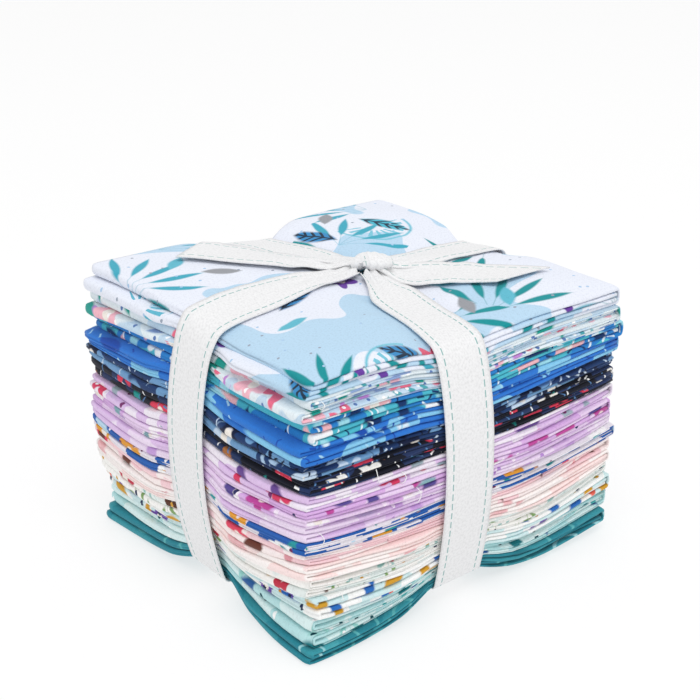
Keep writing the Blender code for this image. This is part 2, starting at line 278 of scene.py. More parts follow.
def lean_y(a):
    return KNOT_Y + a * np.where(a < 0.0, LEAN_LEFT, LEAN_RIGHT)


def leaned(a, b):
    """Plan position of a flat spot once it follows the ribbon's lean."""
    x = a + lean_x(b) * (1.0 - rim(a, HALF_X))
    y = b + lean_y(a) * (1.0 - rim(b, HALF_Y))
    return x, y


def rounded(offset, half, other, other_half):
    """How far a fold draws in towards its end, so that the stack's corners are round."""
    past = np.clip(np.abs(other) - (other_half - CORNER_ROUND), 0.0, CORNER_ROUND)
    drawn = CORNER_ROUND - np.sqrt(np.maximum(CORNER_ROUND ** 2 - past ** 2, 0.0))
    return -np.sign(offset) * drawn * 0.4 * rim(offset, half) ** 4


def plan(a, b, level):
    x, y = leaned(a, b)
    x = x + np.sign(a) * standing_out(level, b / HALF_Y, belt(b)) * rim(a, HALF_X)
    y = y + np.sign(b) * standing_out(level, a / HALF_X, belt(a)) * rim(b, HALF_Y)
    at_corner = rim(a, HALF_X) * rim(b, HALF_Y) ** 1.5
    x = x + np.where((a < 0.0) & (b > 0.0), -LEFT_OUT, 0.0) * at_corner
    x = x + np.where((a > 0.0) & (b < 0.0), RIGHT_OUT, 0.0) * at_corner
    return x + rounded(a, HALF_X, b, HALF_Y), y + rounded(b, HALF_Y, a, HALF_X)


def in_stack(a, b, level, warped):
    """Points of the stack: where they are in plan goes by level, their height by warped."""
    low, high = underside(a, b), topside(a, b)
    x, y = plan(a, b, level)
    return np.stack([x, y, low + warped * (high - low)], -1)


print("height at a quarter's middle:", float(topside(np.array(0.05), np.array(0.05))))

# %% [markdown]
# ## Uneven layers
#
# Hand-folded cloth never stacks evenly. Each cut is thicker at one corner and thinner at another,
# and its layers are looser here and tighter there. So the level of a layer isn't the same
# everywhere: the lofts at the corners move it, and then slow waves do. Neither changes the order of
# the levels, but neighbouring cuts still run into each other in places, by up to 0.6 millimetres.

# %% The sixteen cuts, and how the levels move
# One row a cut, from the top down. loft is its share of the height. upper, lower and large say how
# far its rolls stand out, and shift how far it lies towards the back. mirrored cuts have their
# letter fold the other way round, so that their cut edges show in front.
Cut = namedtuple("Cut", "name loft upper lower large shift mirrored")
CUTS = [
    Cut("fat_quarter_01", 1.03, -0.0021, 0.0017, 0.0022, 0.0004, False),
    Cut("fat_quarter_02", 1.06, -0.0011, 0.0019, 0.0029, -0.0006, True),
    Cut("fat_quarter_03", 0.96, -0.0012, -0.0011, 0.0042, 0.0003, False),
    Cut("fat_quarter_04", 1.05, 0.0033, 0.0021, 0.0040, -0.0002, False),
    Cut("fat_quarter_05", 0.97, 0.0027, 0.0026, 0.0024, 0.0006, False),
    Cut("fat_quarter_06", 0.95, 0.0008, 0.0007, 0.0009, -0.0004, True),
    Cut("fat_quarter_07", 1.00, 0.0022, 0.0029, 0.0015, 0.0002, False),
    Cut("fat_quarter_08", 1.02, 0.0031, 0.0034, -0.0014, -0.0005, False),
    Cut("fat_quarter_09", 1.04, 0.0033, 0.0034, 0.0012, 0.0005, False),
    Cut("fat_quarter_10", 1.04, 0.0034, 0.0032, 0.0029, -0.0003, True),
    Cut("fat_quarter_11", 0.98, 0.0030, 0.0026, 0.0004, 0.0004, False),
    Cut("fat_quarter_12", 0.97, 0.0032, 0.0034, 0.0006, -0.0006, False),
    Cut("fat_quarter_13", 1.00, 0.0015, 0.0017, 0.0009, 0.0003, True),
    Cut("fat_quarter_14", 0.98, -0.0004, -0.0020, 0.0016, -0.0002, False),
    Cut("fat_quarter_15", 0.97, -0.0018, -0.0011, 0.0022, 0.0005, True),
    Cut("fat_quarter_16", 0.98, 0.0010, 0.0019, 0.0000, -0.0004, False),
]

# The cuts' lofts at three corners of the stack, by (right side, back side) as -1 or 1
CORNER_LOFTS = {
    (-1, 1): (26, 24, 14, 16, 12, 19, 14, 13, 13, 13, 14, 14, 17, 24, 17, 17),
    (-1, -1): (16, 20, 23, 18, 14, 14, 15, 15, 16, 12, 12, 12, 24, 26, 31, 13),
    (1, -1): (17, 14, 16, 15, 11, 17, 14, 14, 14, 12, 11, 11, 16, 17, 18, 15),
}


def borders(lofts):
    """The levels of the borders between cuts, from the bottom up."""
    rising = np.cumsum([0.0, *reversed(lofts)])
    return rising / rising[-1]


NOMINAL = borders([cut.loft for cut in CUTS])

Wave = namedtuple("Wave", "count depth along_a along_b start")


def make_waves():
    dice = random.Random(7)
    waves = []
    for count, depth in ((3.0, 0.07), (5.0, 0.10), (8.0, 0.12), (13.0, 0.14), (21.0, 0.14), (33.0, 0.10)):
        for _ in range(2):
            along = (dice.uniform(-60.0, 60.0), dice.uniform(-60.0, 60.0))
            waves.append(Wave(count, depth / 2.0, *along, dice.uniform(0.0, 6.28)))
    return waves


WAVES = make_waves()


def warp(a, b, level):
    """The level at which a layer really lies at a flat spot."""
    moved = level + 0.0 * a + 0.0 * b
    for (x_side, y_side), lofts in CORNER_LOFTS.items():
        near = np.clip(x_side * a / HALF_X, 0.0, 1.0) * np.clip(y_side * b / HALF_Y, 0.0, 1.0)
        moved = moved + near * (np.interp(level, NOMINAL, borders(lofts)) - level)
    window = np.clip(level * (1.0 - level) * 12.0, 0.0, 1.0)
    for wave in WAVES:
        turn = math.tau * wave.count
        angle = turn * level + wave.along_a * a + wave.along_b * b + wave.start
        moved = moved + window * wave.depth * np.sin(angle) / turn
    return moved


def looseness(a, b, level):
    """How much thicker than usual the layers are at a level."""
    step = 0.004
    return (warp(a, b, level + step) - warp(a, b, level - step)) / (2.0 * step)


print(len(CUTS), "cuts,", len(WAVES), "waves")

# %% [markdown]
# ## One folded cut
#
# A fat quarter is a piece 18 by 22 inches, 0.457 by 0.559 metres. First it is folded in three
# across its width, like a letter. The strip is then folded to four passes, the two ends turned in
# to the middle and the far half brought over. So its left side shows two small rolls, its right
# side one large roll, and its front the letter fold of each pass, edge on.
#
# The cut is a grid. Its rows follow the long fold path and its columns go across the letter
# fold. The product of the two is the whole cloth, in one piece, as it is in real life. Its two
# lengths along the cloth are kept in a UV map, so the prints run over every fold.

# %% The fold path and the letter fold
PLY = 0.00030             # thickness of one layer of the cotton
LETTER = 0.28             # half thickness of a letter-folded pass, as a share of its pitch
SMALL_CENTRE = HALF_X - 0.0014
LARGE_CENTRE = HALF_X - 0.0026
SMALL_STEPS = 12
LARGE_STEPS = 15
FAT_STEPS = 8
THIN_STEPS = 4
SMALL_ROUND = 0.75        # how far a roll stands out, as a share of a half circle
LARGE_ROUND = 0.50
FLATNESS = 0.62           # below 1 the rolls have a flat face and sharp bends
GROOVE = 0.0006           # depth of the creases that run along some rolls
TUCKED_END = 0.0004       # how far the turned-in ends stop short of the large roll
RAW_EDGE = -0.94          # the letter fold's raw edge and its two turns, as shares of HALF_Y
THIN_TURN = 0.99
FAT_TURN = -0.992
LAST_EDGE = 0.993
LETTER_ROUND = 0.65       # how far the letter fold's turns stand out
ROLL_WANDER = (0.022, 0.0008)     # spacing and depth of the wander of a roll
EDGE_WANDER = (0.030, 0.0013)     # and of the letter fold's edges, which stay inside EDGE_LIMIT
EDGE_LIMIT = 0.0009
CREASE_SPACING = 0.035
ROLL_STEP = 0.0004        # length that a row adds to the way even where a roll turns on the spot

# Steps along the four passes in the order of the path, and across the three layers of each. The
# top cut shows its whole upper face and the bottom one its lower face, the rest only their edges.
TOP_STEPS = ((20, 92, 20, 20), (48, 36, 84))
BOTTOM_STEPS = ((20, 20, 60, 20), (40, 30, 60))
INNER_STEPS = ((25, 25, 25, 25), (12, 18, 24))

# One row of the grid: a is its flat spot, lc and rho its middle level and radius, cosine and
# sine the way it faces, left and right the stagger of its two ends, crease 1 where a roll has one.
Row = namedtuple("Row", "a lc rho cosine sine left right crease")


def crowded(steps):
    """Shares from 0 to 1 that crowd together near the ends, where the cloth turns."""
    even = np.linspace(0.0, 1.0, steps)
    return 0.65 * even + 0.35 * (0.5 - 0.5 * np.cos(math.pi * even))


def pass_rows(start, stop, level, side, stagger, steps):
    """One pass."""
    return [Row(start + (stop - start) * s, level, 0.0, side, 0.0, *stagger, 0.0) for s in crowded(steps)]


def roll_rows(centre, from_level, to_level, side, stagger, steps):
    """The half circle that joins two passes."""
    rows = []
    rho = abs(to_level - from_level) / 2.0
    for step in range(1, steps):
        angle = math.pi * step / steps
        reach = math.copysign(math.sin(angle) ** FLATNESS, centre)
        middle = (from_level + to_level) / 2.0
        creased = step in ((steps // 2,) if centre < 0.0 else (steps // 3, 2 * steps // 3))
        rows.append(Row(centre, middle, rho, side * math.cos(angle), reach, *stagger, float(creased)))
    return rows


def fold_path(cut, levels, steps):
    top, second, third, bottom = levels
    upper = (-cut.upper, cut.large)
    lower = (-cut.lower, cut.large)
    tucked = LARGE_CENTRE - TUCKED_END
    rows = pass_rows(tucked, -SMALL_CENTRE, second, -1.0, upper, steps[0])
    rows += roll_rows(-SMALL_CENTRE, second, top, -1.0, upper, SMALL_STEPS)
    rows += pass_rows(-SMALL_CENTRE, LARGE_CENTRE, top, 1.0, upper, steps[1])
    rows += roll_rows(LARGE_CENTRE, top, bottom, 1.0, upper, LARGE_STEPS)
    rows += pass_rows(LARGE_CENTRE, -SMALL_CENTRE, bottom, -1.0, lower, steps[2])
    rows += roll_rows(-SMALL_CENTRE, bottom, third, -1.0, lower, SMALL_STEPS)
    rows += pass_rows(-SMALL_CENTRE, tucked, third, 1.0, lower, steps[3])
    return rows


def letter_fold(steps):
    """Columns across the width: (share of the half width, sideways bulge, ply offset)."""
    columns = []
    for share in crowded(steps[0]):
        columns.append((RAW_EDGE + (THIN_TURN - RAW_EDGE) * share, 0.0, 0.0))
    for step in range(1, THIN_STEPS):
        angle = math.pi * step / THIN_STEPS
        columns.append((THIN_TURN, 0.5 * math.sin(angle), -0.5 + 0.5 * math.cos(angle)))
    for share in crowded(steps[1]):
        columns.append((THIN_TURN + (FAT_TURN - THIN_TURN) * share, 0.0, -1.0))
    for step in range(1, FAT_STEPS):
        angle = math.pi * step / FAT_STEPS
        columns.append((FAT_TURN, -math.sin(angle), -math.cos(angle)))
    for share in crowded(steps[2]):
        columns.append((FAT_TURN + (LAST_EDGE - FAT_TURN) * share, 0.0, 1.0))
    return np.array(columns)


def lengthwise(dice, distances, spacing, depth):
    """A smooth random wander along the cloth, for edges that don't lie true."""
    knots = np.arange(-spacing, distances[-1] + 3.0 * spacing, spacing)
    heights = np.array([dice.uniform(-depth, depth) for _ in knots])
    place = np.clip((distances - knots[0]) / spacing, 1.0, len(knots) - 2.001)
    index = place.astype(int)
    share = place - index
    before, here, after, next_one = (heights[index + n] for n in (-1, 0, 1, 2))
    curve = 2.0 * here + (after - before) * share
    curve += (2.0 * before - 5.0 * here + 4.0 * after - next_one) * share ** 2
    return 0.5 * (curve + (3.0 * here - before - 3.0 * after + next_one) * share ** 3)


print("columns across a cut:", len(letter_fold(INNER_STEPS[1])))

# %% [markdown]
# ## From a grid to a cloth
#
# The grid's points go through the stack's mapping, with the stagger of the rolls, a wander of
# the letter fold's edges and small dents of each layer added on the way. The mesh is one sheet, and
# a Solidify modifier gives it the cotton's thickness.

# %% Cloth meshes
def running(steps):
    """Distances from the first of points that lie these steps apart."""
    return np.concatenate([[0.0], np.cumsum(steps)])


def grid_mesh(name, grids):
    """A smooth mesh of grids of points, with their lengths u and v in the UV map 'cloth'."""
    corners, faces, flats, base = [], [], [], 0
    for points, u, v in grids:
        index = np.arange(len(u) * len(v)).reshape(len(u), len(v)) + base
        quads = np.stack([index[:-1, :-1], index[1:, :-1], index[1:, 1:], index[:-1, 1:]], -1)
        corners.append(points.reshape(-1, 3))
        faces.append(quads.reshape(-1, 4))
        flats.append(np.stack(np.meshgrid(u, v, indexing="ij"), -1).reshape(-1, 2))
        base += len(u) * len(v)
    quads = np.concatenate(faces)
    data = bpy.data.meshes.new(name)
    data.from_pydata(np.concatenate(corners).tolist(), [], quads.tolist())
    data.polygons.foreach_set("use_smooth", [True] * len(data.polygons))
    layer = data.uv_layers.new(name="cloth")
    layer.data.foreach_set("uv", np.concatenate(flats)[quads.ravel()].ravel())
    return data


def cloth_mesh(name, points):
    """A mesh of one grid, with its mean lengths both ways."""
    along = np.linalg.norm(np.diff(points, axis=0), axis=2).mean(axis=1)
    across = np.linalg.norm(np.diff(points, axis=1), axis=2).mean(axis=0)
    return grid_mesh(name, [(points, running(along), running(across))])


def add_piece(name, data, slot=None):
    made = new_object(name, data)
    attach(made, "root")
    return made


def thicken(piece, thickness):
    shell = piece.modifiers.new("thickness", "SOLIDIFY")
    shell.thickness = thickness
    shell.offset = 0.0


def folded_points(cut, levels, pitch, seed, steps):
    dice = random.Random(seed)
    rows = fold_path(cut, levels, steps[0])
    a, lc, rho, cosine, sine, left, right, crease = (np.array(field)[:, None] for field in zip(*rows))
    share, bulge, offset = letter_fold(steps[1]).T[:, None, :]
    if cut.mirrored:
        share, bulge = -share, -bulge
    b = share * HALF_Y
    half_pass = LETTER * pitch
    radius = rho + half_pass * offset
    turned = rho > 0.0
    level = np.where(turned, lc + radius * cosine, lc + half_pass * offset * cosine)
    local_height = (topside(a, b) - underside(a, b)) * looseness(a, b, lc)

    # the rolls at the ends of the passes
    across = np.linspace(-HALF_Y, HALF_Y, 60)
    wander = [lengthwise(dice, across + HALF_Y, *ROLL_WANDER) for _ in range(3)]
    upper_left, lower_left, right_side = (np.interp(b[0], across, line)[None, :] for line in wander)
    is_lower = lc < (levels[1] + levels[2]) / 2.0
    left = left + np.where(is_lower, lower_left, upper_left)
    loose = 1.0 - HELD * belt(b)
    stagger = np.where(a < 0.0, left, right + right_side) * loose * rim(a, HALF_X)
    roundness = np.where(a < 0.0, SMALL_ROUND, LARGE_ROUND)
    out = np.where(turned, radius * sine * local_height * roundness, 0.0)
    creases = np.interp(b[0], across, lengthwise(dice, across + HALF_Y, CREASE_SPACING, GROOVE))[None, :]
    out = out - np.sign(a) * crease * np.clip(creases + GROOVE * 0.2, 0.0, GROOVE)

    # the letter fold's two edges, which wander along the strip
    travelled = running(np.abs(np.diff(a[:, 0])) + ROLL_STEP)
    front = lengthwise(dice, travelled, *EDGE_WANDER)[:, None]
    back = lengthwise(dice, travelled, *EDGE_WANDER)[:, None]
    edge = np.where(b < 0.0, -np.minimum(front, EDGE_LIMIT), np.minimum(back, EDGE_LIMIT))
    free = rim(b, HALF_Y) * (1.0 - HELD * belt(a))
    sideways = (edge + cut.shift) * free + bulge * half_pass * local_height * LETTER_ROUND
    place = in_stack(a, b, level, warp(a, b, level))
    place[..., 0] += stagger + out
    place[..., 1] += sideways
    return place


def cut_levels():
    """The four levels of every cut, and its pitch, from the top down."""
    spans = sum(cut.loft for cut in CUTS) * PASSES
    level = 1.0
    for cut in CUTS:
        pitch = cut.loft / spans
        yield cut, [level - pitch * (number + 0.5) for number in range(PASSES)], pitch
        level -= pitch * PASSES


cuts = {}
STEPS = [TOP_STEPS] + [INNER_STEPS] * (len(CUTS) - 2) + [BOTTOM_STEPS]
for number, (cut, levels, pitch) in enumerate(cut_levels()):
    points = folded_points(cut, levels, pitch, 100 + number, STEPS[number])
    piece = add_piece(f"{cut.name}_cloth", cloth_mesh(cut.name, points), f"cotton_{number + 1:02d}")
    thicken(piece, PLY)
    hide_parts(cut.name)
    cuts[cut.name] = piece
print(len(cuts), "cuts,", len(piece.data.polygons), "faces each before thickening")

# %% [markdown]
# ## Shader maths as plain expressions
#
# A print is a sum of small shapes, each worked out from a place on the cloth. Wire holds one
# socket, and arithmetic on it adds Math nodes, so a shape can be written as a formula. Colours
# and vectors use Mix and Vector Math, and one method adds any other node.

# %% Wire
class Wire:
    def __init__(self, socket):
        self.socket = socket
        self.tree = socket.id_data

    def node(self, kind, settings, inputs, output=0):
        """A new node: its settings first, then the values or links of its sockets."""
        made = self.tree.nodes.new(kind)
        for name, value in settings.items():
            setattr(made, name, value)
        for key, value in inputs.items():
            if isinstance(value, Wire):
                self.tree.links.new(value.socket, made.inputs[key])
            else:
                made.inputs[key].default_value = value
        return Wire(made.outputs[output])

    def other(self, output):
        """Another output of the node that this one comes from."""
        return Wire(self.socket.node.outputs[output])

    def math(self, operation, *values, clamp=False):
        settings = {"operation": operation, "use_clamp": clamp}
        return self.node("ShaderNodeMath", settings, dict(enumerate(values)))

    def vector(self, operation, *values):
        return self.node("ShaderNodeVectorMath", {"operation": operation}, dict(enumerate(values)))

    def __add__(self, other):
        return self.math("ADD", self, other)

    def __radd__(self, other):
        return self.math("ADD", other, self)

    def __sub__(self, other):
        return self.math("SUBTRACT", self, other)

    def __rsub__(self, other):
        return self.math("SUBTRACT", other, self)

    def __mul__(self, other):
        return self.math("MULTIPLY", self, other)

    def __rmul__(self, other):
        return self.math("MULTIPLY", other, self)

    def __truediv__(self, other):
        return self.math("DIVIDE", self, other)

    def __gt__(self, other):
        return self.math("GREATER_THAN", self, other)

    def __lt__(self, other):
        return self.math("LESS_THAN", self, other)

    def __abs__(self):
        return self.math("ABSOLUTE", self)

    def clamped(self):
        return self.math("ADD", self, 0.0, clamp=True)

    def parts(self):
        """The x and y of a vector."""
        split = self.node("ShaderNodeSeparateXYZ", {}, {0: self})
        return split, split.other(1)


def linear(hex_colour):
    """A hex sRGB colour as the linear values that a shader takes."""
    values = [int(hex_colour[i:i + 2], 16) / 255.0 for i in (0, 2, 4)]
    return (*[v / 12.92 if v <= 0.04045 else ((v + 0.055) / 1.055) ** 2.4 for v in values], 1.0)


def mixed(base, layer, mask):
    """base where the mask is 0 and layer where it is 1. Both are colours or wires of colours."""
    return mask.node("ShaderNodeMix", {"data_type": "RGBA"}, {0: mask, 6: base, 7: layer}, 2)


print("white is", linear("FFFFFF"))

# %% [markdown]
# ## Motifs
#
# Quilting prints repeat a handful of small motifs. Here each is thrown on the cloth at random:
# a Voronoi texture picks a spot for every motif, and the spot gets three random numbers, for its
# turn, whether it is there, and which of two colours it has. The motif is then a formula in
# its own x and y, which run from -1 to 1 over the motif's size.

# %% The motifs' shapes
def spots(cloth, spacing, seed, size):
    """A motif's own x and y, and its random numbers, on a random scatter of spots."""
    moved = cloth.vector("ADD", cloth, (0.137 * seed, 0.211 * seed, 0.0))
    settings = {"voronoi_dimensions": "2D", "feature": "F1"}
    inputs = {"Vector": moved, "Scale": 1.0 / spacing, "Randomness": 0.8}
    spot = moved.node("ShaderNodeTexVoronoi", settings, inputs, "Position")
    chance = spot.node("ShaderNodeSeparateColor", {}, {0: spot.other("Color")})
    x, y = moved.vector("SUBTRACT", moved, spot).parts()
    turn = chance * math.tau
    cosine, sine = turn.math("COSINE", turn), turn.math("SINE", turn)
    along = (x * cosine + y * sine) * (1.0 / size)
    across = (y * cosine - x * sine) * (1.0 / size)
    return along, across, chance.other(1), chance.other(2)


def distance(x, y):
    return x.math("SQRT", x * x + y * y)


def filled(inside, sharp=9.0):
    """1 where inside is above 0, with a soft edge."""
    return (inside * sharp).clamped()


def dot(x, y):
    return filled(1.0 - distance(x, y))


def flower(x, y):
    petals = x.math("COSINE", x.math("ARCTAN2", y, x) * 5.0)
    return filled(0.76 + petals * 0.22 - distance(x, y))


def heart(x, y):
    """A flower's round middle."""
    return filled(0.30 - distance(x, y), 14.0)


def ring(x, y):
    return filled(0.13 - abs(distance(x, y) - 0.8), 14.0)


def sprig(x, y):
    """A stem with pairs of slanting leaves."""
    step = x.math("FRACT", x * 2.2) - 0.5
    side = abs(y) - 0.30
    p = step * 0.45
    one = (p + side * 0.9) * 0.78
    two = (side * 0.9 - p) * 0.62
    leaf = 0.16 - distance(one * 0.55, two * 1.9)
    stem = 0.035 - abs(y)
    inside = leaf.math("MAXIMUM", leaf, stem)
    return filled(inside, 16.0) * (abs(x) < 0.95)


def leaf(x, y):
    """One pointed leaf."""
    width = 0.42 * (1.0 - x * x)
    return filled(width - abs(y), 7.0)


def fan(x, y):
    """A half round of rays with a border."""
    far = distance(x, y)
    rays = filled(x.math("COSINE", x.math("ARCTAN2", y, x) * 18.0), 3.0)
    rays = rays * (far > 0.3) * (far < 0.75)
    border = filled(0.06 - abs(far - 0.9), 20.0)
    return rays.math("MAXIMUM", rays, border) * (x > -0.1)


def spray(x, y):
    """Five slender leaves that fan out from one point."""
    ahead = x + 0.85
    far = distance(ahead, y)
    angle = x.math("ARCTAN2", y, ahead)
    beside_leaf = abs(x.math("FRACT", angle / 0.46 + 0.5) - 0.5) * 0.46 * far
    middle = (far - 1.05) * 1.65
    leaves = 0.115 * (1.0 - middle * middle) - beside_leaf
    stalks = (0.020 - beside_leaf) * (far < 0.6)
    return filled(leaves.math("MAXIMUM", leaves, stalks), 22.0) * (abs(angle) < 1.15)


def feather(x, y):
    return filled(0.36 * (1.0 - x * x) - abs(y), 9.0)


def barbs(x, y):
    """A feather's dark slanting bars and quill."""
    bars = x.math("COSINE", (x + abs(y) * 1.3) * 17.0) - 0.25
    quill = 0.05 - abs(y)
    return filled(bars.math("MAXIMUM", bars, quill * 9.0), 4.0)


def dash(x, y):
    """A short stroke."""
    return filled(0.30 - abs(y), 5.0) * (abs(x) < 0.95)


SHAPES = {f.__name__: f for f in (dot, dash, flower, ring, sprig, leaf, fan, spray, feather)}
# What is drawn inside a motif, and its colour
INNER = {"flower": (heart, "F6EFE6"), "feather": (barbs, "26384C")}
print("motifs:", ", ".join(SHAPES))

# %% [markdown]
# ## Sixteen prints
#
# The bundle runs from pale blue through bright blue, navy, lilac, pink and white to teal. Each
# print has a ground of two tones and a few kinds of motif. The designs are plain flower, leaf
# and dot prints of the lesson's own.

# %% The table of prints
# A layer of motifs: shape, spacing and size in metres, how many of the spots have one, colours.
Motif = namedtuple("Motif", "shape spacing size share one two")
# A ground: its two tones, and the size and share of the second one's patches.
Print = namedtuple("Print", "ground patch patch_size patch_share motifs")
# One row a cut, from the top down
PRINTS = [
    Print("E9EDF8", "BAD8EE", 0.046, 0.34, [
        Motif("fan", 0.058, 0.017, 0.45, "7CC6DA", "5FB6CE"),
        Motif("spray", 0.046, 0.019, 0.8, "159298", "3FA9C0"),
        Motif("leaf", 0.027, 0.0078, 0.5, "9A9CA2", "5FB9CE"),
        Motif("feather", 0.047, 0.0125, 0.6, "4FB6CC", "3E8CC4"),
        Motif("flower", 0.041, 0.0085, 0.5, "E0607C", "6B3FA0"),
        Motif("dot", 0.009, 0.0006, 0.35, "A9C9E8", "9AA4B4"),
    ]),
    Print("E6F0F5", "C6DDEF", 0.026, 0.45, [
        Motif("sprig", 0.03, 0.013, 0.5, "C58AD6", "4FA9B4"),
        Motif("leaf", 0.019, 0.008, 0.6, "1E9E92", "8FA8D6"),
        Motif("flower", 0.023, 0.0092, 0.7, "EC6F8C", "F7BBC9"),
        Motif("dot", 0.006, 0.0008, 0.4, "FFFFFF", "5F7FB8"),
    ]),
    Print("2A82CC", "4DBACD", 0.026, 0.4, [
        Motif("flower", 0.024, 0.0085, 0.5, "F3B9C0", "F4F8FB"),
        Motif("leaf", 0.018, 0.0075, 0.6, "123468", "9FDCEA"),
        Motif("dash", 0.005, 0.0018, 0.5, "E6F3FB", "123468"),
    ]),
    Print("3079D2", "88CBEE", 0.032, 0.34, [
        Motif("leaf", 0.023, 0.0085, 0.5, "1D4FAE", "DDEFFA"),
        Motif("dash", 0.006, 0.0018, 0.45, "A9DAF4", "1D4FAE"),
    ]),
    Print("213C6A", "709DC8", 0.026, 0.25, [
        Motif("sprig", 0.026, 0.012, 0.6, "A9C6E2", "131D3B"),
        Motif("flower", 0.024, 0.008, 0.5, "16213F", "C5D8EC"),
        Motif("dash", 0.005, 0.0016, 0.5, "C9DBEE", "10182F"),
    ]),
    Print("171A28", "2A3A62", 0.03, 0.35, [
        Motif("flower", 0.022, 0.008, 0.7, "E5405C", "F5F2EC"),
        Motif("leaf", 0.017, 0.0068, 0.6, "1F9C96", "B0703C"),
        Motif("dash", 0.005, 0.0014, 0.45, "FFFFFF", "5A86B8"),
    ]),
    Print("E2C5EC", "F4ECF7", 0.026, 0.42, [
        Motif("flower", 0.023, 0.0085, 0.6, "DC3F66", "FFFFFF"),
        Motif("leaf", 0.018, 0.0072, 0.55, "9FB2BC", "6A4A92"),
        Motif("dot", 0.008, 0.0011, 0.35, "7B2F6C", "FFFFFF"),
    ]),
    Print("DBB2E5", "EBD3F1", 0.03, 0.48, [
        Motif("flower", 0.024, 0.0085, 0.55, "C04A9C", "FBF5FB"),
        Motif("leaf", 0.019, 0.0075, 0.5, "86AFB8", "5A4C94"),
        Motif("dot", 0.008, 0.0011, 0.35, "2C3060", "F8ECFA"),
    ]),
    Print("E2C5EC", "F0DFF5", 0.034, 0.48, [
        Motif("leaf", 0.024, 0.0085, 0.5, "CBA3DF", "F4E8F9"),
        Motif("dot", 0.01, 0.001, 0.35, "F8EFFB", "B98ED4"),
    ]),
    Print("EFEAF2", "2C64B4", 0.034, 0.44, [
        Motif("flower", 0.024, 0.0085, 0.55, "EBA43C", "FFFFFF"),
        Motif("leaf", 0.018, 0.0072, 0.6, "BFE0F2", "2C9AA0"),
        Motif("dot", 0.008, 0.0011, 0.35, "7A2F5C", "FFFFFF"),
    ]),
    Print("FAD5DB", "FEF1F0", 0.03, 0.48, [
        Motif("flower", 0.024, 0.0085, 0.5, "E64A66", "FFF6F4"),
        Motif("leaf", 0.02, 0.0072, 0.45, "E09AA4", "6B3A2E"),
        Motif("dot", 0.009, 0.001, 0.35, "B0566A", "FFFFFF"),
    ]),
    Print("FDE6E4", "FFF8F6", 0.036, 0.48, [
        Motif("leaf", 0.024, 0.0085, 0.4, "F0BEC2", "FFF8F6"),
        Motif("dot", 0.011, 0.001, 0.3, "FFF8F6", "E4A4A8"),
    ]),
    Print("FEFDFA", "EDF6F4", 0.03, 0.4, [
        Motif("flower", 0.026, 0.0075, 0.5, "C8384E", "5A3524"),
        Motif("sprig", 0.026, 0.011, 0.6, "86A86A", "9FCBC6"),
        Motif("dot", 0.008, 0.0009, 0.4, "D9A23C", "1F2E54"),
    ]),
    Print("FCFDFC", "D5EEF0", 0.026, 0.46, [
        Motif("flower", 0.022, 0.0075, 0.6, "EE6A5A", "6E4AA8"),
        Motif("leaf", 0.018, 0.0068, 0.6, "2C6FC0", "D6A032"),
        Motif("dot", 0.006, 0.001, 0.4, "D99A2E", "1E2E54"),
    ]),
    Print("BDE6E8", "E0F5F5", 0.03, 0.45, [
        Motif("sprig", 0.027, 0.012, 0.6, "4FB2B4", "9FDAD4"),
        Motif("leaf", 0.021, 0.0075, 0.4, "1F7F88", "2A5F9E"),
        Motif("dot", 0.008, 0.001, 0.35, "FFFFFF", "1E4F5A"),
    ]),
    Print("2C8898", "3A96A3", 0.034, 0.45, [
        Motif("ring", 0.024, 0.007, 0.5, "5FB4B8", "9FD6DC"),
        Motif("leaf", 0.026, 0.0085, 0.4, "247886", "4CA7B2"),
        Motif("dot", 0.012, 0.0009, 0.3, "F2FAFA", "CFEDED"),
    ]),
]
print(len(PRINTS), "prints")

# %% [markdown]
# ## Cotton
#
# Quilting cotton is a plain weave of about 27 threads to the centimetre, printed on one side. Here
# both sides have the print. Close up it has a fine grain, which is a small bump here and a slight
# change of tone. It has no gloss, only the soft sheen of its fibre ends.

# %% The cotton material
THREAD = 0.00042          # distance between threads, a little coarser than life
FIRST_SEED = 52           # of the first print's random layout
PATCH_SPREAD = 0.18       # how far the patches' share moves their border in the noise
PATCH_SHARP = 150.0


def weave(cloth):
    """Height of a plain weave, from -1 to 1."""
    u, v = cloth.parts()
    turn = math.pi / THREAD
    return u.math("SINE", u * turn) * v.math("SINE", v * turn)


def cloth_material(name):
    """A material, its shader and the place on the cloth."""
    made, shader = new_material(name)
    uv = made.node_tree.nodes.new("ShaderNodeUVMap")
    uv.uv_map = "cloth"
    return made, shader, Wire(uv.outputs[0])


def plug(wire, shader, name):
    wire.tree.links.new(wire.socket, shader.inputs[name])


def noise(cloth, size, detail=2.0, output=0):
    inputs = {"Vector": cloth, "Scale": 1.0 / size, "Detail": detail}
    return cloth.node("ShaderNodeTexNoise", {"noise_dimensions": "2D"}, inputs, output)


def printed(cloth, design, seed):
    """The print's colour."""
    shifted = cloth.vector("ADD", cloth, (0.31 * seed, 0.17 * seed, 0.0))
    border = 0.5 + PATCH_SPREAD * (0.5 - design.patch_share)
    patches = filled(noise(shifted, design.patch_size, 1.0) - border, PATCH_SHARP)
    colour = mixed(linear(design.ground), linear(design.patch), patches)
    for number, motif in enumerate(design.motifs):
        x, y, present, which = spots(cloth, motif.spacing, seed + 7 * number + 1, motif.size)
        there = present < motif.share
        tint = mixed(linear(motif.one), linear(motif.two), which > 0.5)
        if motif.shape in INNER:
            inner, shade = INNER[motif.shape]
            tint = mixed(tint, linear(shade), inner(x, y))
        colour = mixed(colour, tint, SHAPES[motif.shape](x, y) * there)
    return colour


